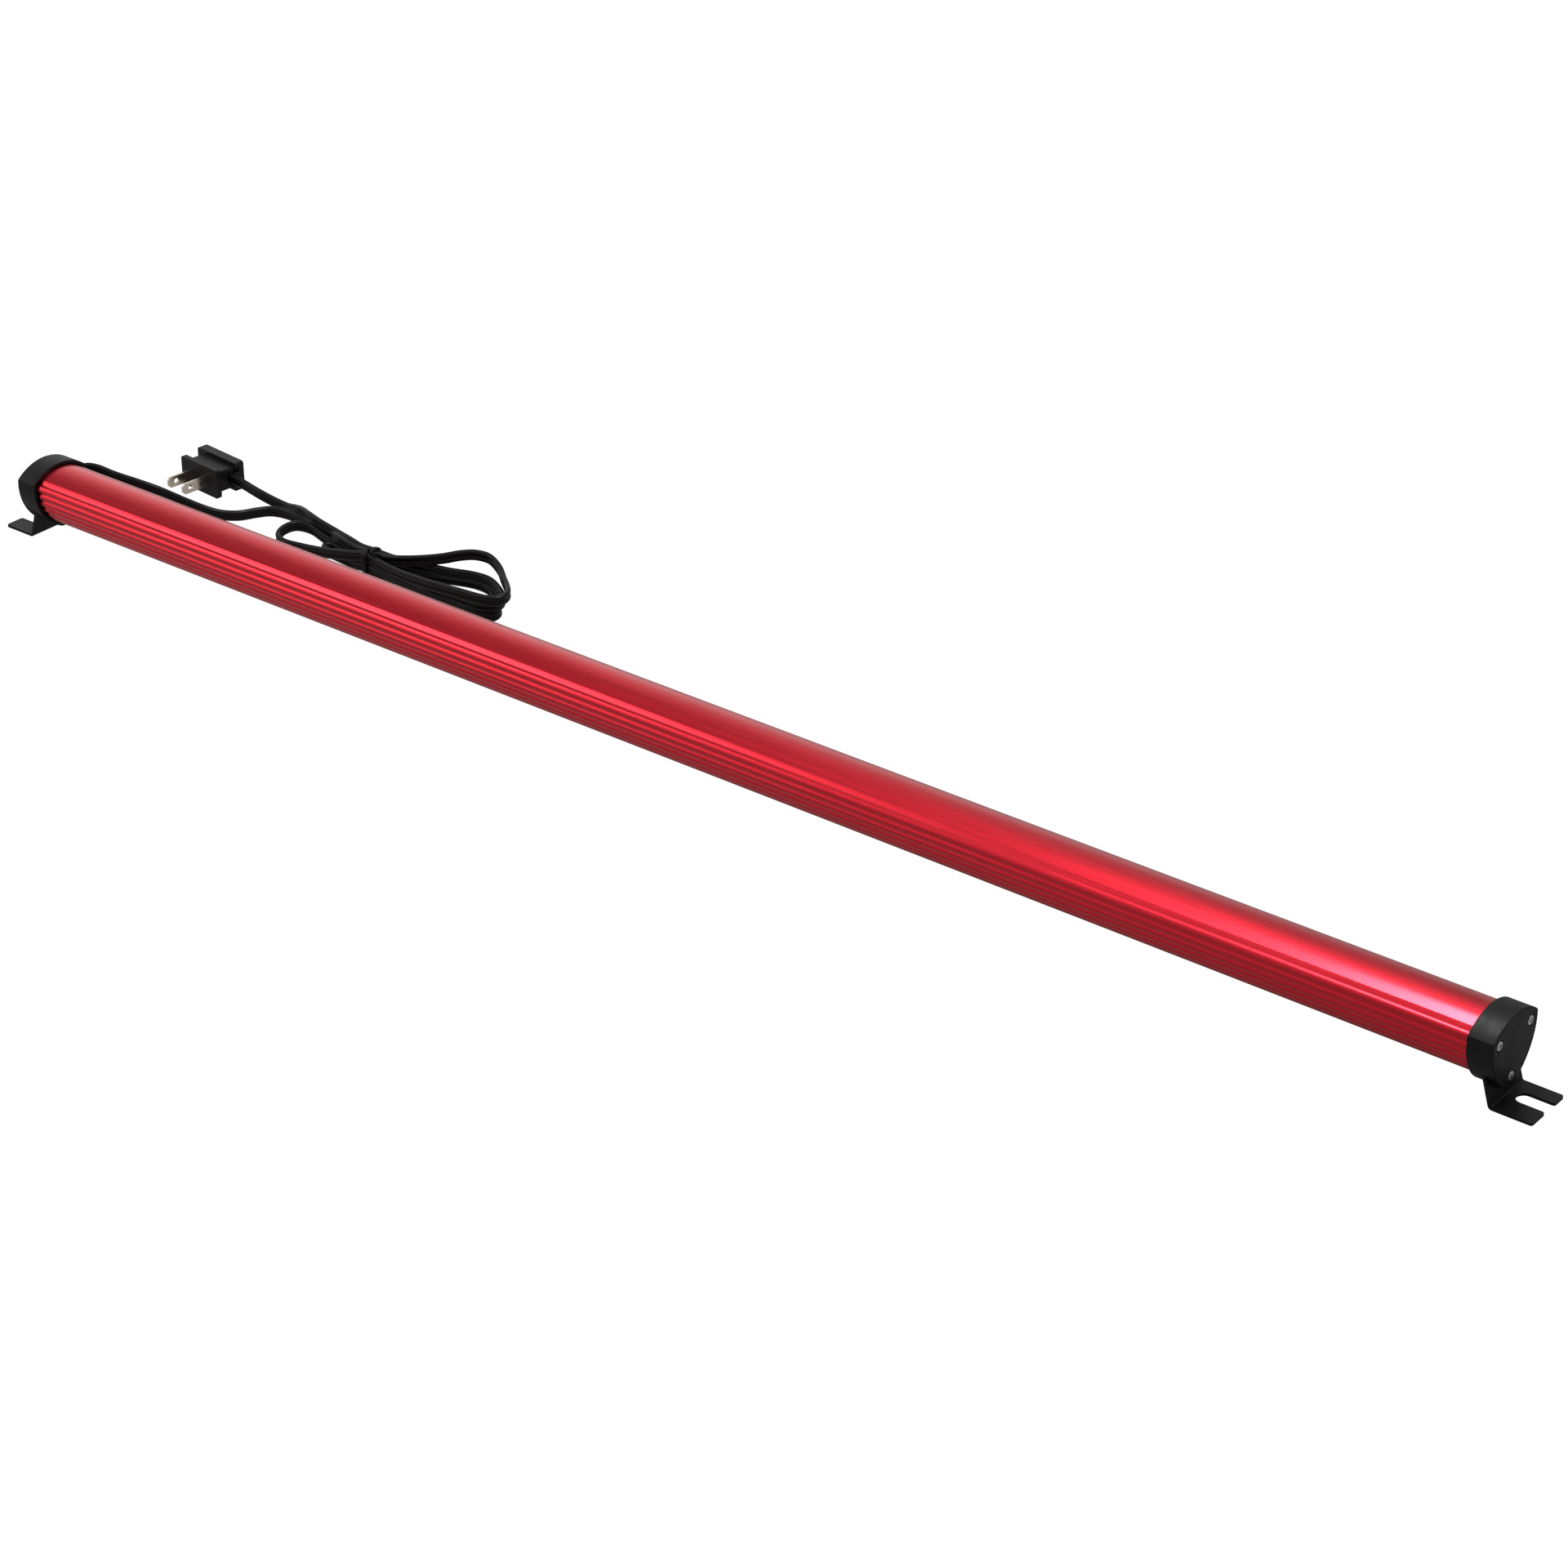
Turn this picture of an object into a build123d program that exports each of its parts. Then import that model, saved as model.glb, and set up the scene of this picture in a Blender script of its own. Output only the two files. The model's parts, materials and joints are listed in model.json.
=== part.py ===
from build123d import *
import os
from math import cos, pi, radians, sin, sqrt, tan

os.makedirs("parts", exist_ok=True)

# Electric dehumidifier heater rod.
# X runs along the rod, with the plain end at +X and the cord end at -X.
# Y runs across the rod, with the cord on the +Y side.  Z is up.
# The origin is at mid-length, on the centre plane, on the surface the feet rest on.  Units are mm.

# Section of the rod: two flank circles and one dome circle, drawn for the outside of the end caps.
flank_radius = 29.0
flank_offset = 10.0
flank_height = 32.0
dome_radius = 28.6
dome_height = 14.0
keel_radius = 4.0

# Lengthwise stations, measured from mid-length.
half_length = 457.2
cap_depth = 13.0
cap_wall = 1.8
sheet = 1.5
plate_face = 451.7
gasket_thick = 0.8
tube_end = plate_face - sheet - gasket_thick

# Tube section, as distances inside the cap outline.
bead_inset = 1.85
groove_inset = 2.85
bore_inset = 4.2
groove_first_angle = -3.6
groove_pitch_angle = 9.8
groove_count = 7

# Screws, as (Y, Z) positions on the end face.
screw_spots = [(-13.2, 32.4), (13.2, 32.4), (0.0, 10.9)]
screw_radius = 1.5
screw_length = 18.0
head_radius = 2.45
head_height = 1.7
head_seat = 1.6
port_radius = 3.1
port_bore = 1.55
plate_hole = 1.9

# Foot bracket.
foot_half_width = 13.9
foot_end = 475.9
lean_height = 15.6
lean_angle = 16.3
fork_width = 8.5
fork_offset = 1.5
fork_root = 459.7

# Heater pack inside the tube.
pack_floor = 25.2
pack_half_length = 390.0
board_thick = 0.6
core_thick = 0.8
foil_thick = 0.3
board_half_width = 13.6
core_half_width = 11.4
rail_inner = 12.0
rail_thick = 1.2

# Mains cord, two cores side by side, run on edge.
cord_thick = 3.2
cord_wide = 6.2
cord_exit_x = -453.55
cord_exit_z = 26.0
wire_radius = 0.85
wire_spread = 1.55
wire_y = 3.0

# Coil of spare cord.
coil_x = -261.0
coil_y = 71.5
coil_half_length = 84.0
coil_waist = 5.4
coil_swell = 19.0
coil_waist_shift = 0.214
coil_floor = 5.1
coil_rise = 6.8
coil_start_angle = -100.0
coil_sweep_angle = 915.0

# Plug.
plug_x = -426.0
plug_y = 85.3
plug_yaw = -5.8
plug_width = 31.4
plug_height = 17.1
flange_thick = 3.0
neck_width = 26.0
neck_height = 12.2
neck_depth = 14.0
cover_reach = 15.2
cover_overhang = 18.6
cover_thick = 5.8
blade_pitch = 12.7
blade_length = 17.0
blade_root = 9.5
blade_width = 6.3
blade_thick = 1.5
cord_seat = 11.6


def shield(inset):
    """Rounded shield section, inset from the outside of the end cap."""
    left = Pos(flank_offset, flank_height) * Circle(flank_radius - inset)
    right = Pos(-flank_offset, flank_height) * Circle(flank_radius - inset)
    dome = Pos(0, dome_height) * Circle(dome_radius - inset)
    face = left & right & dome
    keel = face.vertices().sort_by(Axis.Y)[0]
    return fillet(keel, keel_radius)


def along_x(face, start, end):
    """Extrude a Y-Z section between two X stations."""
    return extrude(Plane.YZ.offset(start) * face, end - start)


def flank_point(angle, inset):
    """Point on the +Y flank circle at an angle above the horizontal."""
    radius = flank_radius - inset
    return (
        radius * cos(radians(angle)) - flank_offset,
        flank_height + radius * sin(radians(angle)),
    )


def dome_point(across, inset):
    """Point on the dome circle at a distance across from the centre plane."""
    radius = dome_radius - inset
    return (across, dome_height + sqrt(radius**2 - across**2))


def at_cord_end(solid):
    """Mirror a part drawn at the +X end onto the -X end."""
    return mirror(solid, Plane.YZ)


def beaded_outline():
    """Outer line of the tube: plain dome, chamfer, corner bead, flank beads and a keel bead."""
    grooves = [dome_point(12.8, bead_inset + 0.45), (14.6, 35.2)]
    crests = [(13.73, 36.12), (16.95, 33.3)]
    for index in range(groove_count):
        angle = groove_first_angle - index * groove_pitch_angle
        grooves.append(flank_point(angle, groove_inset))
        crests.append(flank_point(angle - groove_pitch_angle / 2, bead_inset))
    edges = [ThreePointArc((-grooves[0][0], grooves[0][1]), dome_point(0, bead_inset), grooves[0])]
    for start, crest, end in zip(grooves, crests, grooves[1:]):
        edges.append(ThreePointArc(start, crest, end))
        edges.append(ThreePointArc((-start[0], start[1]), (-crest[0], crest[1]), (-end[0], end[1])))
    last = grooves[-1]
    keel_floor = flank_height - sqrt((flank_radius - bead_inset) ** 2 - flank_offset**2) + 0.3
    edges.append(ThreePointArc(last, (0, keel_floor), (-last[0], last[1])))
    return make_face(edges)


def tube_extrusion():
    """Hollow aluminium extrusion with screw ports and rails for the heater pack."""
    outside = beaded_outline()
    bore = shield(bore_inset)
    slot_floor = pack_floor - 0.1
    slot_roof = pack_floor + 2 * board_thick + core_thick + foil_thick + 0.1
    for side in (-1, 1):
        rail_middle = side * (rail_inner + 3.0)
        bore -= Pos(rail_middle, slot_floor - rail_thick / 2) * Rectangle(6.0, rail_thick)
        bore -= Pos(rail_middle, slot_roof + rail_thick / 2) * Rectangle(6.0, rail_thick)
    for across, up in screw_spots:
        bore -= Pos(across, up) * Circle(port_radius)
    section = outside - bore
    for across, up in screw_spots:
        section -= Pos(across, up) * Circle(port_bore)
    return along_x(section, -tube_end, tube_end)


def bracket():
    """Sheet-steel foot: drilled end plate, leaning web and forked foot."""
    lean = tan(radians(lean_angle))
    inner = plate_face - sheet
    across_sheet = sheet / cos(radians(lean_angle))
    web_top = lean_height + (inner + across_sheet - plate_face) / lean
    bend_inside = inner + across_sheet + (lean_height - sheet) * lean
    profile = make_face(
        Polyline(
            (inner, 41.0),
            (plate_face, 41.0),
            (plate_face, web_top),
            (bend_inside, sheet),
            (foot_end, sheet),
            (foot_end, 0.0),
            (inner + lean_height * lean, 0.0),
            (inner, lean_height),
            close=True,
        )
    )
    bends = [v for v in profile.vertices() if abs(v.Y - sheet) < 0.01 and v.X < foot_end - 1]
    profile = fillet(bends, 1.0)
    heels = [v for v in profile.vertices() if abs(v.Y) < 0.01 and v.X < foot_end - 1]
    profile = fillet(heels, 2.4)
    body = extrude(Plane.XZ * profile, 20.0, both=True)
    web = Pos(0, lean_height / 2 - 1.0) * Rectangle(2 * foot_half_width, lean_height + 2.0)
    outline = shield(bead_inset + 0.1) + web
    body &= along_x(outline, 440.0, foot_end + 5.0)
    window = Pos(0, 27.0) * RectangleRounded(17.0, 14.0, 3.0)
    body -= along_x(window, 440.0, plate_face + 1.0)
    for across, up in screw_spots:
        body -= along_x(Pos(across, up) * Circle(plate_hole), 440.0, foot_end)
    root = Pos(fork_root + fork_width / 2, fork_offset) * Circle(fork_width / 2)
    mouth_length = foot_end - fork_root - fork_width / 2 + 2.0
    mouth_middle = fork_root + fork_width / 2 + mouth_length / 2
    fork = root + Pos(mouth_middle, fork_offset) * Rectangle(mouth_length, fork_width)
    body -= extrude(fork, sheet + 1.0)
    toes = [e for e in body.edges().filter_by(Axis.Z) if e.center().X > foot_end - 0.1]
    return fillet(toes, 1.2)


def web_clearance():
    """Space the bracket needs where it leaves the cap."""
    lean = tan(radians(lean_angle))
    inner = plate_face - sheet - 0.25
    reach = sheet / cos(radians(lean_angle)) + 0.5
    profile = make_face(
        Polyline(
            (inner, lean_height + 0.4),
            (inner + reach, lean_height + 0.4),
            (inner + reach + (lean_height + 1.4) * lean, -1.0),
            (inner + (lean_height + 1.4) * lean, -1.0),
            close=True,
        )
    )
    return extrude(Plane.XZ * profile, 20.0, both=True)


def end_cap():
    """Moulded cap: sleeve over the tube, screw pillars and an end wall."""
    cap = along_x(shield(0.0), half_length - cap_depth, half_length)
    rim = cap.faces().sort_by(Axis.X)[-1].edges()
    cap = fillet(rim, 0.5)
    cap -= along_x(shield(bead_inset - 0.2), half_length - cap_depth, plate_face)
    chamber = shield(2.4)
    for across, up in screw_spots:
        chamber -= Pos(across, up) * Circle(3.5)
    cap -= along_x(chamber, plate_face, half_length - cap_wall)
    for across, up in screw_spots:
        cap -= along_x(Pos(across, up) * Circle(screw_radius + 0.2), plate_face - 1.0, half_length)
        cap -= along_x(Pos(across, up) * Circle(head_radius + 0.3), half_length - head_seat, half_length)
    return cap - web_clearance()


def end_cap_cord():
    """Cord-end cap, with a slot through its rear flank for the cord."""
    cap = at_cord_end(end_cap())
    slot = Pos(cord_exit_x, 16.0, cord_exit_z) * Box(cord_thick + 0.4, 12.0, cord_wide + 0.5)
    return cap - slot


def cap_screws():
    """Three pan-head screws with a cross recess, sunk into the cap."""
    screws = []
    under = half_length - head_seat
    crown = under + head_height
    for across, up in screw_spots:
        spot = Pos(across, up)
        shank = along_x(spot * Circle(screw_radius), half_length - screw_length, under)
        head = along_x(spot * Circle(head_radius), under, crown)
        head = fillet(head.edges().sort_by(Axis.X)[-1], 0.8)
        recess = Box(1.6, 2.9, 0.8) + Box(1.6, 0.8, 2.9)
        screws.append(shank + head - Pos(crown, across, up) * recess)
    return Compound(children=screws)


def end_gasket():
    """Flat seal between the tube and the bracket plate."""
    seal = shield(bead_inset + 0.2)
    seal -= Pos(0, 27.0) * RectangleRounded(17.0, 14.0, 3.0)
    for across, up in screw_spots:
        seal -= Pos(across, up) * Circle(plate_hole)
    return along_x(seal, tube_end, tube_end + gasket_thick)


def board(half_width, start, end, floor, thick):
    """Flat strip lying along the tube."""
    middle = Pos((start + end) / 2, 0, floor + thick / 2)
    return middle * Box(end - start, 2 * half_width, thick)


def heater_foil():
    """Etched resistance foil: a meander out and a straight bus strip back."""
    foil_floor = pack_floor + board_thick + core_thick
    start = -pack_half_length
    end = pack_half_length - 6.0
    foil = Pos((start + end) / 2, 0, foil_floor + foil_thick / 2) * Box(end - start, 20.0, foil_thick)
    cutter_z = foil_floor + foil_thick / 2
    divide = Pos((start + end) / 2 - 3.0, 5.75, cutter_z) * Box(end - start, 1.5, 1.0)
    cuts = [divide]
    pitch = 16.0
    first = start + 14.0
    for index in range(46):
        shift = -1.5 if index % 2 else 1.5
        cuts.append(Pos(first + index * pitch, -2.5 + shift, cutter_z) * Box(1.5, 14.0, 1.0))
    return foil - cuts


def pack_stops():
    """Four blocks pushed into the rail slots to stop the heater pack sliding."""
    middle = pack_floor + board_thick + (core_thick + foil_thick) / 2
    blocks = []
    for end in (-1, 1):
        for side in (-1, 1):
            spot = Pos(end * (pack_half_length + 3.0), side * 11.8, middle)
            blocks.append(spot * Box(6.0, 3.6, 2.4))
    return Compound(children=blocks)


def round_wire(points, radius, bend):
    """Round wire along straight legs with rounded corners."""
    path = FilletPolyline(*points, radius=bend)
    start = Plane(origin=path @ 0, z_dir=path % 0)
    return sweep(start * Circle(radius), path=path)


def lead_wires():
    """The two cord cores, from the cut end of the jacket into the tube."""
    wires = []
    for up in (cord_exit_z + wire_spread, cord_exit_z - wire_spread):
        corner = (cord_exit_x, wire_y, up)
        wires.append(round_wire([(cord_exit_x, 8.0, up), corner, (-436.0, wire_y, up)], wire_radius, 2.4))
    return Compound(children=wires)


def crimp_sleeves():
    """Three crimped joining sleeves on the wiring."""
    upper = cord_exit_z + wire_spread
    lower = cord_exit_z - wire_spread
    sleeves = []
    for start, up in ((-439.0, upper), (-439.0, lower), (-410.0, lower)):
        ring = Circle(1.45) - Circle(0.9)
        sleeves.append(along_x(Pos(wire_y, up) * ring, start, start + 9.0))
    return Compound(children=sleeves)


def thermal_cutoff():
    """Axial one-shot thermal cutoff with its two leads."""
    lower = cord_exit_z - wire_spread
    body = along_x(Pos(wire_y, lower) * Circle(1.9), -426.0, -415.0)
    body = chamfer(body.edges().sort_by(Axis.X)[-1], 0.9)
    return body + along_x(Pos(wire_y, lower) * Circle(0.5), -434.0, -406.0)


def cutoff_sleeve():
    """Glass-fibre sleeve over the thermal cutoff."""
    lower = cord_exit_z - wire_spread
    return along_x(Pos(wire_y, lower) * (Circle(2.3) - Circle(1.95)), -427.0, -413.0)


def heater_leads():
    """Bare leads from the crimps onto the two foil pads."""
    pad_top = pack_floor + board_thick + core_thick + foil_thick + 0.51
    upper = cord_exit_z + wire_spread
    lower = cord_exit_z - wire_spread
    live = [(-433.0, wire_y, upper), (-420.0, wire_y, upper), (-402.0, -4.0, pad_top)]
    neutral = [(-404.0, wire_y, lower), (-400.0, wire_y, lower), (-393.0, 8.2, pad_top)]
    live.append((-381.0, -4.0, pad_top))
    neutral.append((-381.0, 8.2, pad_top))
    return Compound(children=[round_wire(live, 0.5, 4.0), round_wire(neutral, 0.5, 1.2)])


def coil_point(turned):
    """Point on the spare-cord coil after turning through an angle in degrees."""
    angle = radians(coil_start_angle + turned)
    swell = coil_waist + coil_swell * (cos(angle) + coil_waist_shift) ** 2
    return (
        coil_x + coil_half_length * cos(angle),
        coil_y + swell * sin(angle),
        coil_floor + coil_rise * turned / 360.0,
    )


def plug_frame():
    """Frame on the plug face: x across the blades, y up, z out along the blades."""
    yaw = radians(plug_yaw)
    return Plane(
        origin=(plug_x, plug_y, plug_height / 2),
        x_dir=(cos(yaw), sin(yaw), 0),
        z_dir=(sin(yaw), -cos(yaw), 0),
    )


def cord_path():
    """Centre line of the cord: out of the cap, through the coil and into the plug."""
    floor = cord_wide / 2 + 0.05
    leave = [
        (cord_exit_x, 8.0, cord_exit_z),
        (cord_exit_x, 14.0, cord_exit_z),
        (cord_exit_x, 20.0, cord_exit_z),
        (-452.4, 25.4, 28.0),
        (-447.0, 28.2, 28.2),
        (-434.8, 31.3, 26.0),
        (-421.5, 36.0, 23.4),
        (-413.6, 41.0, 20.2),
        (-407.2, 47.0, 15.6),
        (-401.0, 53.0, 11.0),
        (-394.5, 59.0, 6.8),
        (-388.0, 64.8, 4.0),
        (-381.0, 71.5, floor),
        (-376.5, 79.5, floor),
        (-370.0, 86.4, floor),
        (-359.0, 88.8, floor),
        (-344.0, 86.2, floor),
        (-326.0, 79.6, floor),
        (-305.0, 72.0, floor + 0.6),
    ]
    steps = 31
    coil = [coil_point(coil_sweep_angle * i / (steps - 1)) for i in range(steps)]
    lead = [
        (-322.0, 84.5, 19.6),
        (-345.0, 91.0, 13.0),
        (-366.0, 94.2, 7.6),
        (-384.0, 93.8, 7.0),
    ]
    frame = plug_frame()
    seat = []
    for along in (22.0, 16.0, 10.0, 4.0, -2.0, -8.0, -13.0):
        seat.append(tuple(frame.from_local_coords((along, 0, -cord_seat))))
    return Spline(*leave, *coil, *lead, *seat, tangents=[(0, 1, 0), -frame.x_dir])


def power_cord():
    """Flat twin cord, swept on edge."""
    path = cord_path()
    section = SlotOverall(cord_wide, cord_thick, rotation=90)
    start = Plane(origin=path @ 0, x_dir=(-1, 0, 0), z_dir=path % 0)
    return sweep(start * section, path=path, binormal=Pos(0, 0, 12.0) * path)


def cord_grommet(cord):
    """Rubber collar where the cord leaves the cap."""
    collar = Pos(cord_exit_x + 0.6, 19.0, cord_exit_z) * Box(6.4, 6.4, 9.4)
    collar = fillet(collar.edges().filter_by(Axis.Y), 1.6)
    collar -= at_cord_end(along_x(shield(-0.02), half_length - cap_depth - 1, half_length + 1))
    bore = Pos(cord_exit_x, 19.0, cord_exit_z) * Box(cord_thick + 0.1, 8.0, cord_wide + 0.1)
    return collar - bore - cord


def twist_tie():
    """Covered wire tie drawn round the waist of the coil."""
    waist = coil_x - coil_half_length * coil_waist_shift
    half_width = coil_waist + cord_thick / 2 + 2.2
    top = coil_floor + coil_rise * coil_sweep_angle / 360.0 + cord_wide / 2 + 1.2
    middle = (top + 0.8) / 2
    inner = Pos(coil_y, middle) * RectangleRounded(2 * half_width, top - 0.8, 3.0)
    outer = Pos(coil_y, middle) * RectangleRounded(2 * half_width + 1.4, top + 0.6, 3.7)
    return along_x(outer - inner, waist - 1.8, waist + 1.8)


def plug_body():
    """Front half of the plug: flange, neck with a cord channel, and rails for the cover."""
    flange = Pos(0, 0, -flange_thick / 2) * Box(plug_width, plug_height, flange_thick)
    flange = fillet(flange.edges().filter_by(Axis.Z), 1.5)
    neck = Pos(0, 0, -neck_depth / 2) * Box(neck_width, neck_height, neck_depth)
    rails = Pos(0, 0, -neck_depth - 1.6) * Box(neck_width, neck_height, 1.2)
    posts = Pos(0, 0, -neck_depth - 0.5) * Box(neck_width, neck_height - 2.4, 1.0)
    body = flange + neck + rails + posts
    channel_front = -cord_seat + cord_thick / 2 + 0.15
    channel = Pos(2.0, 0, channel_front - 4.0) * Box(neck_width + 4.0, cord_wide + 0.3, 8.0)
    body -= channel
    for side in (-1, 1):
        body -= Pos(side * blade_pitch / 2, 0, -5.0) * Box(blade_thick + 0.04, blade_width + 0.04, 11.0)
    return plug_frame().location * body


def plug_blade(side):
    """Flat blade with a hole near its tip and a rear spike that pierces one core."""
    middle = (blade_length - blade_root) / 2
    tip = Pos(0, 0, middle) * Box(blade_thick, blade_width, blade_length + blade_root)
    tip = chamfer(tip.faces().sort_by(Axis.Z)[-1].edges().filter_by(Axis.X), 1.4)
    tip -= Pos(0, 0, 11.7) * Rot(0, 90, 0) * Cylinder(1.6, 4.0)
    spike = Pos(0, side * wire_spread, 1.15 - cord_seat) * Box(0.8, 1.2, 3.4)
    return plug_frame().location * (Pos(side * blade_pitch / 2, 0, 0) * (tip + spike))


def plug_cover():
    """Rear half of the plug: a thick plate whose T-slot, closed at one end, slides on the rails."""
    front = -neck_depth - 0.05
    width = cover_reach + cover_overhang
    middle = (cover_reach - cover_overhang) / 2
    plate = Pos(middle, 0, front - cover_thick / 2) * Box(width, plug_height, cover_thick)
    plate = fillet(plate.edges().filter_by(Axis.Z), 1.5)
    slot_width = cover_reach + neck_width / 2 + 2.3
    slot_middle = cover_reach + 2.0 - slot_width / 2
    mouth = Pos(slot_middle, 0, front - 0.5) * Box(slot_width, neck_height - 2.1, 1.2)
    slot = Pos(slot_middle, 0, front - 1.6) * Box(slot_width, neck_height + 0.3, 1.5)
    pad_front = -cord_seat - cord_thick / 2 - 0.05
    pad_back = front - 3.0
    pad = Pos(middle, 0, (pad_front + pad_back) / 2) * Box(width, cord_wide - 0.4, pad_front - pad_back)
    return plug_frame().location * (plate - mouth - slot + pad)


def save(solid, name):
    """Write one node to its own file."""
    export_step(solid, f"parts/{name}.step")


blade_line = plug_blade(-1)
blade_neutral = plug_blade(1)
cord = power_cord() - blade_line - blade_neutral
core_floor = pack_floor + board_thick
foil_roof = core_floor + core_thick + foil_thick
end = pack_half_length

save(tube_extrusion(), "tube_extrusion")
save(end_cap(), "end_cap_plain")
save(end_cap_cord(), "end_cap_cord")
save(bracket(), "bracket_plain_end")
save(at_cord_end(bracket()), "bracket_cord_end")
save(cap_screws(), "cap_screws_plain_end")
save(at_cord_end(cap_screws()), "cap_screws_cord_end")
save(end_gasket(), "end_gasket_plain")
save(at_cord_end(end_gasket()), "end_gasket_cord")
save(heater_foil(), "heater_foil")
save(board(core_half_width, -end, end, core_floor, core_thick), "heater_core")
save(board(board_half_width, -377.0, end, foil_roof, board_thick), "upper_insulator")
save(board(board_half_width, -end, end, pack_floor, board_thick), "lower_insulator")
save(pack_stops(), "pack_stops")
save(lead_wires(), "lead_wires")
save(heater_leads(), "heater_leads")
save(crimp_sleeves(), "crimp_sleeves")
save(thermal_cutoff(), "thermal_cutoff")
save(cutoff_sleeve(), "cutoff_sleeve")
save(cord_grommet(cord), "cord_grommet")
save(cord, "power_cord")
save(twist_tie(), "twist_tie")
save(plug_body(), "plug_body")
save(blade_line, "plug_blade_line")
save(blade_neutral, "plug_blade_neutral")
save(plug_cover(), "plug_cover")
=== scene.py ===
"""Looks of the dehumidifier heater rod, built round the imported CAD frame.  Units are metres."""
import json
from math import cos, pi, radians, sin, sqrt

import bmesh
import bpy
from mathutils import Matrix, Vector


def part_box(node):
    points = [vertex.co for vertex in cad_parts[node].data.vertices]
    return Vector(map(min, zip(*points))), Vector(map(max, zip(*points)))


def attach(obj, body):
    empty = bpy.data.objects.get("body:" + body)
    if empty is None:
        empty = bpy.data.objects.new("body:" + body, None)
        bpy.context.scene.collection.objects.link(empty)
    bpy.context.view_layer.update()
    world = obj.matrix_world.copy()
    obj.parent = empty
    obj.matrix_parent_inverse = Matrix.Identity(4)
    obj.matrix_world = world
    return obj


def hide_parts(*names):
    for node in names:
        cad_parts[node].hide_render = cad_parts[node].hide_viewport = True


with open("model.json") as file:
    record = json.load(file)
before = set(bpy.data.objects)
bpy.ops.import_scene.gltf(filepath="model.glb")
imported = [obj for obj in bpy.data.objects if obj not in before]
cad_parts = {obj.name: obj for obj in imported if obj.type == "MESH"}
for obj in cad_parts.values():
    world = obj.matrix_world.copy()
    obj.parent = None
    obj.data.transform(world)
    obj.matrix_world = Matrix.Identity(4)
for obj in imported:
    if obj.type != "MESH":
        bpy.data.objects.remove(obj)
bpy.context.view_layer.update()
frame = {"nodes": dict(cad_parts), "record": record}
nodes = frame["nodes"]
mounts = {m["name"]: m for m in frame["record"]["mounts"]}
MM = 0.001
ROOT = "heater"
COVER = "plug_cover"


# ---------------------------------------------------------------- finishes

def grey(level):
    return (level, level, level)


def fill_ramp(node, stops):
    """Set the stops of a colour ramp, given as (place, colour)."""
    band = node.color_ramp
    while len(band.elements) < len(stops):
        band.elements.new(0.5)
    for element, (place, colour) in zip(band.elements, stops):
        element.position = place
        element.color = (*colour, 1.0)


class Shader:
    """Small helper that adds and links nodes of one material."""

    def __init__(self, name):
        self.material = bpy.data.materials.new(name)
        self.material.use_nodes = True
        self.tree = self.material.node_tree
        self.tree.nodes.clear()
        self.output = self.add("ShaderNodeOutputMaterial")
        self.surface = self.add("ShaderNodeBsdfPrincipled")
        self.link(self.surface, "BSDF", self.output, "Surface")
        self.coords = self.add("ShaderNodeTexCoord")

    def add(self, kind, **settings):
        node = self.tree.nodes.new(kind)
        for key, value in settings.items():
            setattr(node, key, value)
        return node

    def link(self, source, output, target, socket):
        self.tree.links.new(source.outputs[output], target.inputs[socket])

    def set(self, **values):
        """Set inputs of the surface, named with _ for each space."""
        for key, value in values.items():
            self.surface.inputs[key.replace("_", " ")].default_value = value

    def noise(self, scale, detail=3.0, rough=0.5, stretch=(1, 1, 1)):
        """Noise in the object's own coordinates; stretch lengthens the pattern along each axis."""
        mapping = self.add("ShaderNodeMapping")
        mapping.inputs["Scale"].default_value = [1.0 / s for s in stretch]
        self.link(self.coords, "Object", mapping, "Vector")
        noise = self.add("ShaderNodeTexNoise")
        noise.inputs["Scale"].default_value = scale
        noise.inputs["Detail"].default_value = detail
        noise.inputs["Roughness"].default_value = rough
        self.link(mapping, "Vector", noise, "Vector")
        return noise

    def ramp(self, source, stops, output="Fac"):
        """Colour ramp over a 0 to 1 value."""
        ramp = self.add("ShaderNodeValToRGB")
        fill_ramp(ramp, stops)
        self.link(source, output, ramp, "Fac")
        return ramp

    def spread(self, source, low, high, output="Fac", start=0.3, end=0.7):
        """Map a value onto a narrow range."""
        spread = self.add("ShaderNodeMapRange")
        spread.inputs["From Min"].default_value = start
        spread.inputs["From Max"].default_value = end
        spread.inputs["To Min"].default_value = low
        spread.inputs["To Max"].default_value = high
        self.link(source, output, spread, "Value")
        return spread

    def bump(self, source, strength, distance):
        """Surface relief that follows a noise; distance is its depth in metres."""
        bump = self.add("ShaderNodeBump")
        bump.inputs["Strength"].default_value = strength
        bump.inputs["Distance"].default_value = distance
        self.link(source, "Fac", bump, "Height")
        self.link(bump, "Normal", self.surface, "Normal")


PLASTIC_SHINE = 0.15


def plastic(name, dark, light, rough, grain=2600.0, strength=0.25, depth=0.00006):
    """Moulded or painted finish: fine grain, slow tone drift and uneven gloss."""
    s = Shader(name)
    drift = s.noise(35.0, 4.0)
    tone = s.ramp(drift, [(0.3, dark), (0.75, light)])
    s.link(tone, "Color", s.surface, "Base Color")
    gloss = s.noise(220.0, 4.0, 0.6)
    spread = s.spread(gloss, rough - 0.06, rough + 0.07)
    s.link(spread, "Result", s.surface, "Roughness")
    s.set(Metallic=0.0, Specular_IOR_Level=PLASTIC_SHINE)
    grain_noise = s.noise(grain, 2.0)
    s.bump(grain_noise, strength, depth)
    return s.material


# Sockets of the mix node: its factor, its two numbers, its two colours and its colour output.
MIX_FACTOR = 0
MIX_FLOATS = (2, 3)
MIX_COLOURS = (6, 7)
MIX_COLOUR_OUT = 2


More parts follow.
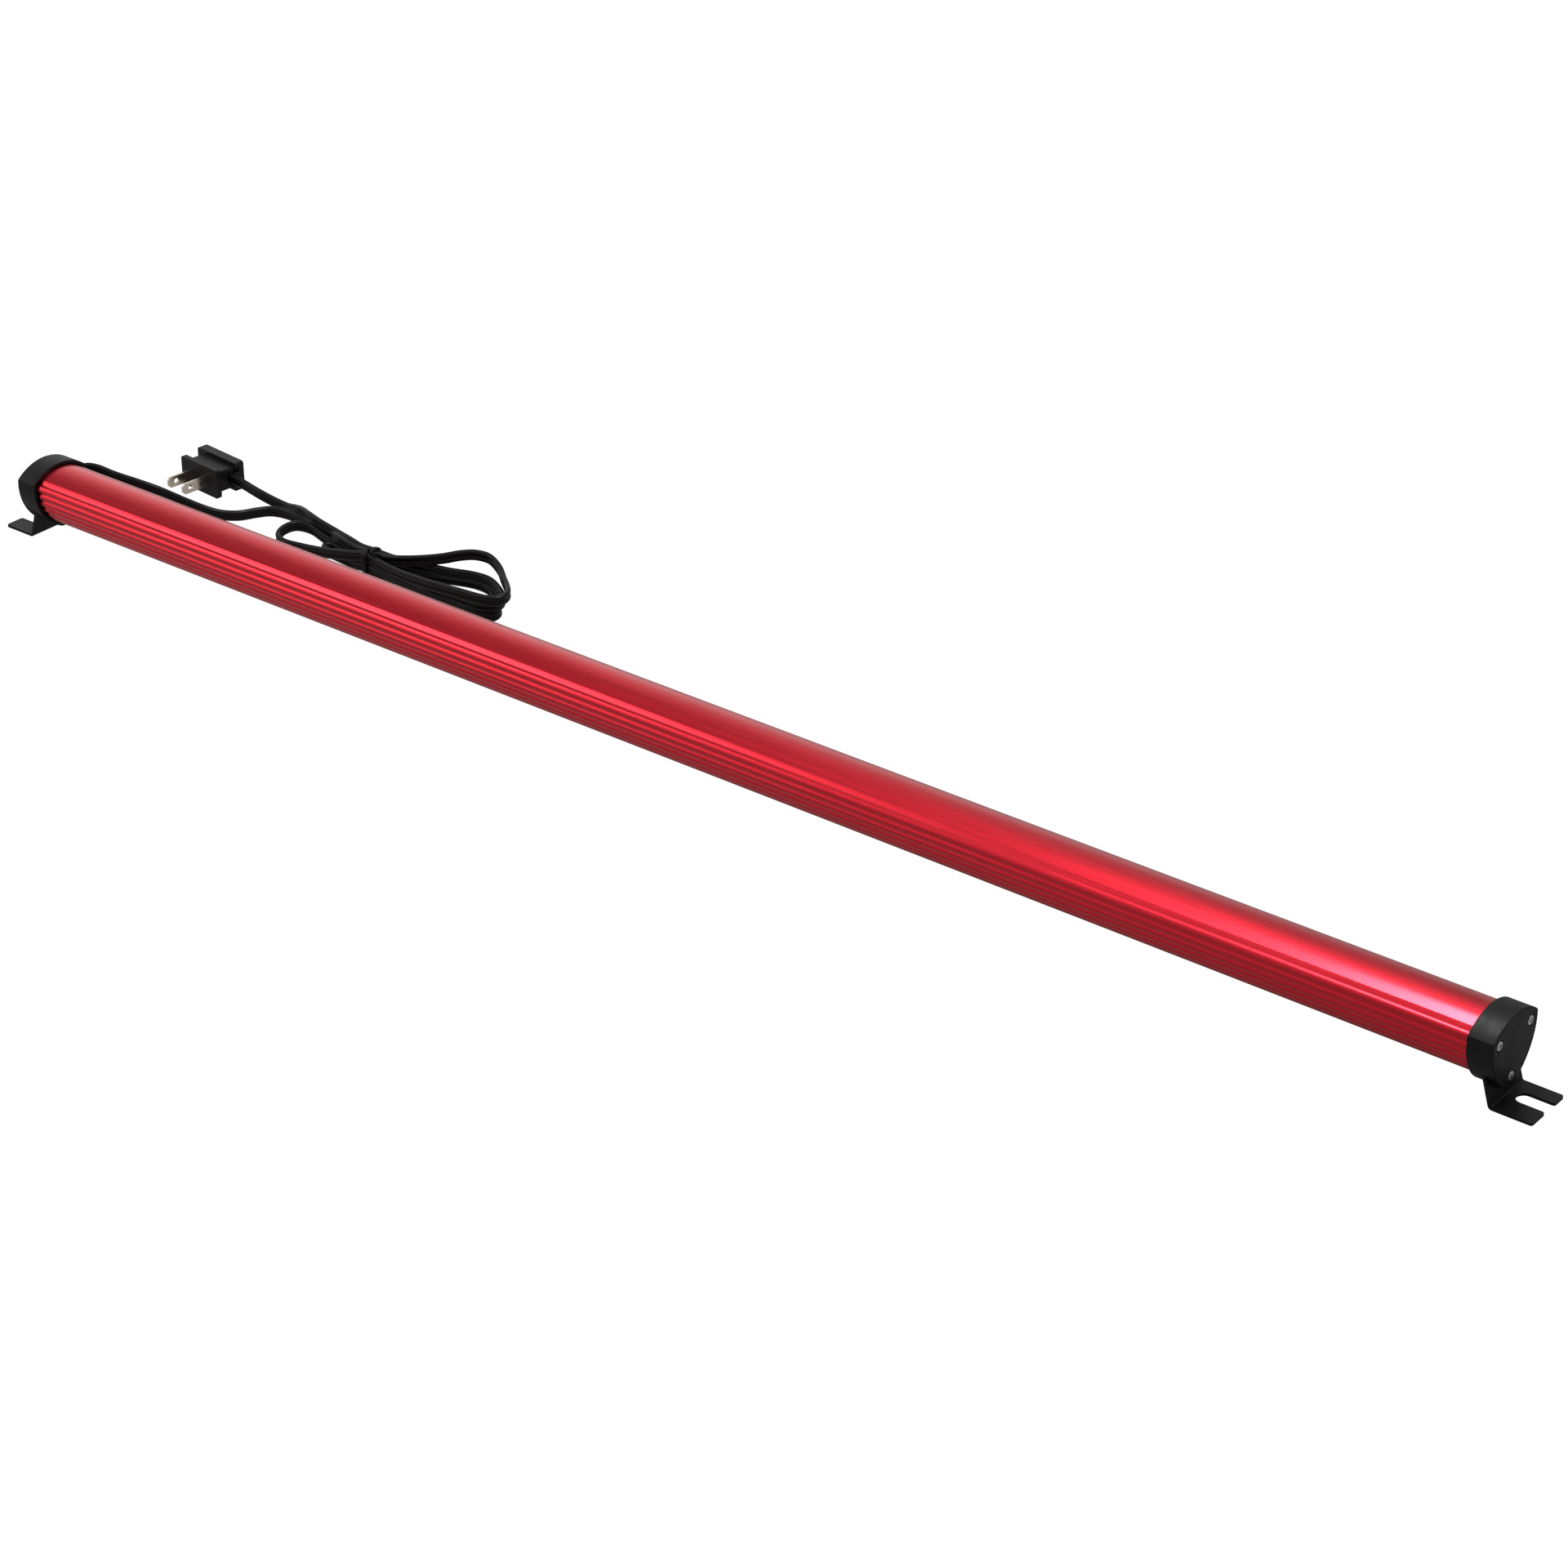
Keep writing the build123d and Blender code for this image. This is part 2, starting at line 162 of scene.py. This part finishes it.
def anodised(name):
    """Red anodised extrusion: satin metal under a clear skin, with faint die lines along the tube."""
    s = Shader(name)
    s.set(Metallic=1.0)
    lines = s.noise(900.0, 4.0, 0.6, (60.0, 1, 1))
    blotch = s.noise(9.0, 3.0, 0.5, (3.0, 1, 1))
    mix = s.add("ShaderNodeMix", data_type="FLOAT")
    mix.inputs[MIX_FACTOR].default_value = 0.35
    s.link(lines, "Fac", mix, MIX_FLOATS[0])
    s.link(blotch, "Fac", mix, MIX_FLOATS[1])
    tone = s.ramp(mix, [(0.3, (0.62, 0.006, 0.020)), (0.7, (0.76, 0.010, 0.029))], "Result")
    s.link(tone, "Color", s.surface, "Base Color")
    spread = s.spread(lines, 0.22, 0.30)
    s.link(spread, "Result", s.surface, "Roughness")
    s.set(Coat_Weight=0.35, Coat_IOR=1.6, Coat_Roughness=0.22)
    s.bump(lines, 0.12, 0.00004)
    return s.material


def metal(name, dark, light, rough, scale=700.0, stretch=(1, 1, 1), strength=0.1):
    """Plain metal with brushed or rolled variation."""
    s = Shader(name)
    s.set(Metallic=1.0)
    wear = s.noise(scale, 4.0, 0.6, stretch)
    tone = s.ramp(wear, [(0.3, dark), (0.7, light)])
    s.link(tone, "Color", s.surface, "Base Color")
    spread = s.spread(wear, rough - 0.07, rough + 0.09)
    s.link(spread, "Result", s.surface, "Roughness")
    s.bump(wear, strength, 0.00003)
    return s.material


BLACK = (0.004, 0.004, 0.0045)
SOOT = (0.009, 0.009, 0.010)

finishes = {
    "anodised_tube": anodised("anodised_red"),
    "cap_plastic": plastic("cap_black", BLACK, SOOT, 0.42),
    "bracket_paint": plastic("bracket_black", BLACK, SOOT, 0.36, 900.0, 0.2, 0.00008),
    "screw_steel": metal("screw_steel", (0.55, 0.55, 0.56), (0.82, 0.82, 0.83), 0.24),
    "gasket_silicone": plastic("gasket_grey", (0.2, 0.2, 0.21), (0.28, 0.28, 0.29), 0.6),
    "heater_foil": metal("foil_steel", (0.42, 0.39, 0.34), (0.55, 0.51, 0.45), 0.35),
    "mica_board": plastic("mica_board", (0.42, 0.34, 0.2), (0.62, 0.52, 0.36), 0.5, 500.0, 0.3),
    "wire_insulation": plastic("wire_black", BLACK, SOOT, 0.4),
    "bare_lead": metal("bare_lead", (0.5, 0.48, 0.46), (0.66, 0.64, 0.6), 0.3),
    "crimp_metal": metal("crimp_metal", (0.5, 0.45, 0.32), (0.7, 0.64, 0.48), 0.32),
    "cutoff_can": metal("cutoff_can", (0.55, 0.55, 0.57), (0.75, 0.75, 0.76), 0.3),
    "glass_sleeve": plastic("glass_sleeve", (0.6, 0.58, 0.52), (0.8, 0.79, 0.74), 0.8, 1400.0, 0.6),
    "grommet_rubber": plastic("grommet_black", BLACK, SOOT, 0.55),
    "cord_pvc": plastic("cord_black", (0.003, 0.003, 0.0035), (0.007, 0.007, 0.008), 0.33, 1500.0, 0.12),
    "tie_plastic": plastic("tie_black", BLACK, SOOT, 0.45, 1800.0, 0.3),
    "plug_plastic": plastic("plug_black", (0.005, 0.005, 0.0055), (0.010, 0.010, 0.011), 0.36, 2000.0, 0.2),
    "blade_metal": metal("blade_nickel", (0.60, 0.50, 0.40), (0.80, 0.71, 0.60), 0.2, 500.0, (1, 8, 1)),
}

slot_of = {entry["node"]: entry["material_slot"] for entry in frame["record"]["subparts"]}
for node_name, node in nodes.items():
    node.data.materials.clear()
    node.data.materials.append(finishes[slot_of[node_name]])


# ---------------------------------------------------------------- cord and tie

# Lengths of the cord and the tie are in mm, angles in degrees.
CORD_CORE = 1.6          # radius of one core
CORD_HALF_PITCH = 1.5    # half the distance between the two cores
CORD_VALLEY = -55.0      # angle at which a core meets the valley between the cores
CORD_SIDE_POINTS = 11    # points on the outline of one core
CORD_STEP = 1.6          # spacing of the sections along the cord
CORD_EXIT_SHIFT = -0.6   # from the middle of the grommet, along X
CORD_SEAT = 11.6         # depth of the cord behind the plug face
CORD_IN_PLUG = (23.0, 17.0, 10.0, 2.0, -6.0, -12.5)    # places across the plug, from its axis

TIE_SHIFT = (1.0, -2.1)  # middle of the turns, from the middle of the CAD tie
TIE_MIDDLE_Z = 7.3
TIE_HALF = (6.1, 6.7)    # half the width and half the height of the first turn
TIE_LAYER = 0.1          # how far the second turn lies outside the first
TIE_REACH = 1.5          # the turns run from this far before the middle to this far past it
TIE_TURNS = 2
TIE_STEPS = 40
TIE_BAND = (0.45, 0.95)  # half thickness and half width of the tie

TAIL_RADIUS = 0.55
TAIL_STEPS = 36
TAIL_TWISTS = 2.5
TAIL_START = Vector((0.6, -1.0, 0.6))
TAIL_REACH = Vector((6.4, -3.2, 0.0))
TAIL_ARCH = 1.5          # rise of the tail between its ends
TAIL_GAP = 0.62          # from the axis of the twist to each strand
TAIL_FLARE_FROM = 0.8    # the strands part over the last fifth of the tail
TAIL_FLARE = 0.9


def through(points, spacing):
    """Centripetal curve through the points, sampled about every spacing."""
    known = [Vector(p) for p in points]
    known = [2 * known[0] - known[1]] + known + [2 * known[-1] - known[-2]]
    curve = []
    for before, start, end, after in zip(known, known[1:], known[2:], known[3:]):
        t1 = sqrt((start - before).length)
        t2 = t1 + sqrt((end - start).length)
        t3 = t2 + sqrt((after - end).length)
        steps = max(2, round((end - start).length / spacing))
        for step in range(steps):
            t = t1 + (t2 - t1) * step / steps
            a1 = before.lerp(start, t / t1)
            a2 = start.lerp(end, (t - t1) / (t2 - t1))
            a3 = end.lerp(after, (t - t2) / (t3 - t2))
            b1 = a1.lerp(a2, t / t2)
            b2 = a2.lerp(a3, (t - t1) / (t3 - t1))
            curve.append(b1.lerp(b2, (t - t1) / (t2 - t1)))
    curve.append(known[-2])
    return curve


def swept(name, path, outline, turn=None):
    """Mesh swept along a path in mm.

    The outline is a list of (out, up).  Up stays near vertical, unless turn gives the way out.
    """
    mesh = bpy.data.meshes.new(name)
    build = bmesh.new()
    rings = []
    count = len(path)
    for index, point in enumerate(path):
        along = path[min(index + 1, count - 1)] - path[max(index - 1, 0)]
        along.normalize()
        side = along.cross(Vector((0, 0, 1)))
        if turn:
            side = turn(point)
        side.normalize()
        up = side.cross(along)
        rings.append([build.verts.new((point + side * o + up * u) * MM) for o, u in outline])
    wrap = len(outline)
    for first, second in zip(rings, rings[1:]):
        for k in range(wrap):
            build.faces.new((first[k], first[(k + 1) % wrap], second[(k + 1) % wrap], second[k]))
    build.faces.new(rings[0][::-1])
    build.faces.new(rings[-1])
    bmesh.ops.recalc_face_normals(build, faces=build.faces)
    build.to_mesh(mesh)
    build.free()
    for face in mesh.polygons:
        face.use_smooth = True
    piece = bpy.data.objects.new(name, mesh)
    bpy.context.collection.objects.link(piece)
    return piece


def twin_outline():
    """Two round cores, one above the other, with a shallow valley between them."""
    outline = []
    for lobe, first in ((1, CORD_VALLEY), (-1, CORD_VALLEY + 180)):
        for k in range(CORD_SIDE_POINTS):
            angle = radians(first + (180 - 2 * CORD_VALLEY) * k / (CORD_SIDE_POINTS - 1))
            outline.append((CORD_CORE * cos(angle), lobe * CORD_HALF_PITCH + CORD_CORE * sin(angle)))
    return outline


def power_cord():
    """The whole cord: cap, down to the floor, three loops one way, two the other, plug.

    Each run is a list of (x, y, z): x from the exit and y from the rod's axis for leave, both from
    the tie for the others, and z from the floor.
    """
    plug = mounts["plug_blades"]
    face = Vector(plug["pos_m"]) / MM
    out = Vector(plug["axis"])
    across = Vector((-out.y, out.x, 0))
    exit_low, exit_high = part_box("cord_grommet")
    exit_x = (exit_low.x + exit_high.x) / 2 / MM + CORD_EXIT_SHIFT
    exit_z = (exit_low.z + exit_high.z) / 2 / MM
    tie_low, tie_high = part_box("twist_tie")
    tie = (tie_low + tie_high) / 2 / MM
    leave = [(0, 14, exit_z), (0, 20, exit_z), (1.2, 25.4, 28), (6.6, 28.2, 28.2), (18.8, 31.3, 26),
             (32, 36, 23.4), (40, 41, 20.2), (46.4, 47, 15.6), (52.6, 53, 11), (59, 59, 6.8),
             (65.6, 64.8, 4), (72.6, 71.5, 3.2), (77.1, 79.5, 3.2), (82.1, 86.2, 3.2),
             (90.6, 89, 3.2), (104.3, 88.4, 3.2)]
    supply = [(-57, 13.9, 3.2), (-44.8, 11.3, 4.6), (-35, 6.5, 8.0), (-25, 2.1, 9.4), (-11, -1.3, 9.6),
              (0, -2.1, 10.4)]
    top_loop = [(11, -1.3, 10.5), (21, 0.7, 12.2), (32, 4.7, 14.2), (43, 10.3, 16.6), (50.2, 15.7, 18.4),
                (57.1, 19.9, 19.2), (64.5, 22.3, 18.4), (75.2, 18.5, 16.8), (85, 11.3, 15.8),
                (93, 5, 15.7), (98.4, -1, 15.8), (99.6, -7, 15.8), (95.5, -10.9, 15.6),
                (88, -12.3, 15.2), (79.1, -12.7, 14.8), (66.3, -12.7, 13.8), (48.4, -11.7, 12),
                (29.5, -9.5, 10.2), (14, -7.1, 9.6), (0, -5.5, 10.4)]
    back_loop = [(-11, -6.7, 8.6), (-27.7, -7.7, 5.4), (-44.8, -9.1, 3.6), (-56.8, -11.3, 4),
                 (-63.4, -8.3, 4.5), (-66.8, -1, 5), (-65.2, 6.9, 5.2), (-57.2, 9.9, 4.8), (-43, 7.5, 3.6),
                 (-31, 5.3, 3.2), (-17, 2.9, 3.2), (0, 1.3, 4.2)]
    floor_loop = [(14.2, 4.5, 3.2), (30, 8.3, 3.2), (43.5, 13.1, 3.2), (57.2, 17.5, 3.2), (68, 17.1, 3.2),
                  (79, 11, 3.2), (87, 4.3, 3.2), (91.2, -0.7, 3.2), (91.2, -5.5, 3.2), (86.5, -8.1, 3.2),
                  (78, -8.9, 3.2), (63.6, -8.9, 3.2), (45.4, -8.7, 3.2), (27, -8.1, 3.2), (13, -6.7, 3.2),
                  (0, -5.5, 4.2)]
    short_loop = [(-11, -4.6, 3.2), (-25, -3.5, 3.2), (-32, -2.9, 3.2), (-36, -0.5, 3.2), (-34, 2.7, 3.2),
                  (-27, 2.1, 3.2), (-17, 0.1, 3.2), (0, -2.1, 4.2)]
    middle_loop = [(13, -2.3, 3.4), (25, -2.9, 4.2), (37, -4.3, 5.4), (51, -6.9, 7.2), (68.7, -8.9, 8.6),
                   (78, -9.7, 9.2), (87, -9.1, 9.5), (92.4, -5.9, 9.5), (93.6, -1.1, 9.5),
                   (90.4, 3.9, 9.5), (83, 9.5, 9.5), (71.3, 14.7, 9.6), (60.8, 14.1, 9.6), (48, 9.9, 9.5),
                   (33, 6.9, 9.2), (21, 4.7, 9.2), (11, 2.7, 9.4), (0, 1.3, 10.4)]
    lead = [(-10, 2.1, 9.6), (-21, 4.3, 9.8), (-33, 7.5, 9.2), (-50.4, 10.9, 9.4), (-61, 14.1, 9.2),
            (-71, 18.1, 8), (-79, 21.3, 5.6), (-88, 23.5, 3.4), (-99, 22.9, 4.6), (-110, 21.9, 7)]
    points = [(exit_x + x, y, z) for x, y, z in leave]
    for run in (supply, top_loop, back_loop, floor_loop, short_loop, middle_loop, lead):
        points += [(tie.x + x, tie.y + y, z) for x, y, z in run]
    points += [face + across * place - out * CORD_SEAT for place in CORD_IN_PLUG]
    return swept("cord_run", through(points, CORD_STEP), twin_outline())


def ring(across, up, count=10):
    """Oval section as (out, up) points."""
    return [(across * cos(2 * pi * k / count), up * sin(2 * pi * k / count)) for k in range(count)]


def wire_tie():
    """Plastic-covered tie wire: two turns round the bundle and a twisted tail on top."""
    tie_low, tie_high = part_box("twist_tie")
    tie = (tie_low + tie_high) / 2 / MM
    middle = Vector((tie.x + TIE_SHIFT[0], tie.y + TIE_SHIFT[1], TIE_MIDDLE_Z))
    path = []
    last = TIE_TURNS * TIE_STEPS
    for k in range(last + 1):
        angle = 2 * pi * k / TIE_STEPS + pi / 2
        corner = (abs(cos(angle)) ** 4 + abs(sin(angle)) ** 4) ** -0.25
        layer = TIE_LAYER * (k // TIE_STEPS)
        path.append(middle + Vector((
            TIE_REACH * (2 * k / last - 1),
            (TIE_HALF[0] + layer) * cos(angle) * corner,
            (TIE_HALF[1] + layer) * sin(angle) * corner,
        )))
    loop = swept("tie_turns", path, ring(*TIE_BAND),
                 lambda point: Vector((0, point.y - middle.y, point.z - middle.z)))
    pieces = [loop]
    for strand in (0, 1):
        twist = []
        for k in range(TAIL_STEPS + 1):
            far = k / TAIL_STEPS
            angle = 2 * pi * TAIL_TWISTS * far + pi * strand
            gap = TAIL_GAP + TAIL_FLARE * max(0.0, far - TAIL_FLARE_FROM) / (1 - TAIL_FLARE_FROM)
            axis = TAIL_START + TAIL_REACH * far + Vector((0, 0, TAIL_ARCH * sin(pi * far)))
            twist.append(path[0] + axis + Vector((0.3 * cos(angle), cos(angle), sin(angle))) * gap)
        pieces.append(swept(f"tie_tail_{strand + 1}", twist, ring(TAIL_RADIUS, TAIL_RADIUS)))
    return pieces


cord_piece = power_cord()
cord_piece.data.materials.append(finishes["cord_pvc"])
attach(cord_piece, ROOT)
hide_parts("power_cord")
tie_pieces = wire_tie()
for piece in tie_pieces:
    piece.data.materials.append(finishes["tie_plastic"])
    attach(piece, ROOT)
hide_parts("twist_tie")


# Rounding: the least angle in degrees that counts as a sharp edge, and the width in mm on each
# CAD node that has it.
SHARP_EDGE = 35.0
EDGE_ROUNDING = {
    "plug_body": 0.4,
    "plug_cover": 0.45,
    "bracket_plain_end": 0.2,
    "bracket_cord_end": 0.2,
    "plug_blade_line": 0.12,
    "plug_blade_neutral": 0.12,
}

for node_name, width in EDGE_ROUNDING.items():
    bevel = nodes[node_name].modifiers.new("soften", "BEVEL")
    bevel.width = width * MM
    bevel.segments = 2
    bevel.limit_method = "ANGLE"
    bevel.angle_limit = radians(SHARP_EDGE)
    bevel.harden_normals = True


# ---------------------------------------------------------------- floor, light and camera

# Brightness of the surroundings as (z of the direction, level).  The left sky is used where the
# direction points well to -X, the near sky elsewhere, and between the two X values they blend.
NEAR_SKY = ((0.0, 0.12), (0.2, 0.11), (0.43, 0.09), (0.59, 0.15), (0.71, 0.3), (0.84, 0.42), (1.0, 0.15))
LEFT_SKY = ((0.0, 0.31), (0.1, 0.33), (0.39, 0.3), (0.55, 0.25), (0.65, 0.17), (0.73, 0.09), (1.0, 0.07))
NEAR_SKY_X = -0.36
LEFT_SKY_X = -0.63
SKY_STRENGTH = 3.0

# Floor: half its width, its place just under the feet, its glow as the camera sees it, and its
# glow as the object sees it at two (x, level) places.
FLOOR_EDGE = 14.0
FLOOR_Z = -0.0001
FLOOR_GLOW = 1.0
FLOOR_GLOW_OFF_CAMERA = ((0.45, 0.12), (-0.5, 0.28))

# Soft boxes as (name, place, aim, size, power).
LIGHTS = (
    ("near_box", (0.1, 0.045, 1.1), (0.35, 0, 0), (0.4, 0.28), 9.5),
    ("left_box", (-1.7, -1.6, 0.55), (-0.3, 0, 0), (1.0, 0.8), 1.4),
    ("bead_box", (-1.5, -1.0, 1.3), (-0.2, 0, 0), (0.6, 0.7), 5.0),
)

CAMERA_LENS = 92.1
CAMERA_PLACE = (1.108, -1.3174, 0.9487)
CAMERA_TURN = (61.02, 0.0, 38.48)


def white_floor():
    """Pale floor that glows white to the camera and more softly to the object."""
    mesh = bpy.data.meshes.new("floor")
    corners = [(x * FLOOR_EDGE, y * FLOOR_EDGE, FLOOR_Z) for x, y in ((-1, -1), (1, -1), (1, 1), (-1, 1))]
    mesh.from_pydata(corners, [], [(0, 1, 2, 3)])
    floor = bpy.data.objects.new("floor", mesh)
    bpy.context.collection.objects.link(floor)
    s = Shader("floor_white")
    drift = s.noise(1.5, 2.0)
    tone = s.ramp(drift, [(0.3, grey(0.145)), (0.7, grey(0.155))])
    s.link(tone, "Color", s.surface, "Base Color")
    s.set(Roughness=0.95, Specular_IOR_Level=0.0, Emission_Color=(1, 1, 1, 1))
    seen = s.add("ShaderNodeLightPath")
    place = s.add("ShaderNodeSeparateXYZ")
    s.link(s.coords, "Object", place, "Vector")
    (right, right_glow), (left, left_glow) = FLOOR_GLOW_OFF_CAMERA
    dim = s.spread(place, right_glow, left_glow, "X", right, left)
    glow = s.add("ShaderNodeMix", data_type="FLOAT")
    s.link(seen, "Is Camera Ray", glow, MIX_FACTOR)
    s.link(dim, "Result", glow, MIX_FLOATS[0])
    glow.inputs[MIX_FLOATS[1]].default_value = FLOOR_GLOW
    s.link(glow, "Result", s.surface, "Emission Strength")
    mesh.materials.append(s.material)


def studio_sky():
    """Soft surroundings, graded by height and brighter low down on the left."""
    world = bpy.data.worlds.new("studio")
    bpy.context.scene.world = world
    world.use_nodes = True
    tree = world.node_tree
    coords = tree.nodes.new("ShaderNodeTexCoord")
    split = tree.nodes.new("ShaderNodeSeparateXYZ")
    turn = tree.nodes.new("ShaderNodeMapRange")
    turn.inputs["From Min"].default_value = NEAR_SKY_X
    turn.inputs["From Max"].default_value = LEFT_SKY_X
    blend = tree.nodes.new("ShaderNodeMix")
    blend.data_type = "RGBA"
    sky = tree.nodes["Background"]
    sky.inputs["Strength"].default_value = SKY_STRENGTH
    tree.links.new(coords.outputs["Generated"], split.inputs["Vector"])
    tree.links.new(split.outputs["X"], turn.inputs["Value"])
    tree.links.new(turn.outputs["Result"], blend.inputs[MIX_FACTOR])
    for side, stops in zip(MIX_COLOURS, (NEAR_SKY, LEFT_SKY)):
        ramp = tree.nodes.new("ShaderNodeValToRGB")
        fill_ramp(ramp, [(height, grey(level)) for height, level in stops])
        tree.links.new(split.outputs["Z"], ramp.inputs["Fac"])
        tree.links.new(ramp.outputs["Color"], blend.inputs[side])
    tree.links.new(blend.outputs[MIX_COLOUR_OUT], sky.inputs["Color"])


def soft_boxes():
    """Rectangular area lights."""
    for name, place, aim, size, power in LIGHTS:
        light = bpy.data.lights.new(name, "AREA")
        light.shape = "RECTANGLE"
        light.size, light.size_y = size
        light.energy = power
        lamp = bpy.data.objects.new(name, light)
        lamp.location = place
        toward = Vector(aim) - Vector(place)
        lamp.rotation_euler = toward.to_track_quat("-Z", "Y").to_euler()
        bpy.context.collection.objects.link(lamp)


def main_camera():
    """Camera at the height and angle of the product view."""
    data = bpy.data.cameras.new("camera")
    data.lens = CAMERA_LENS
    data.sensor_width = 36.0
    data.clip_end = 60.0
    camera = bpy.data.objects.new("camera", data)
    camera.location = CAMERA_PLACE
    camera.rotation_euler = [radians(angle) for angle in CAMERA_TURN]
    bpy.context.collection.objects.link(camera)
    bpy.context.scene.camera = camera
    bpy.context.scene.view_settings.view_transform = "Standard"


white_floor()
studio_sky()
soft_boxes()
main_camera()
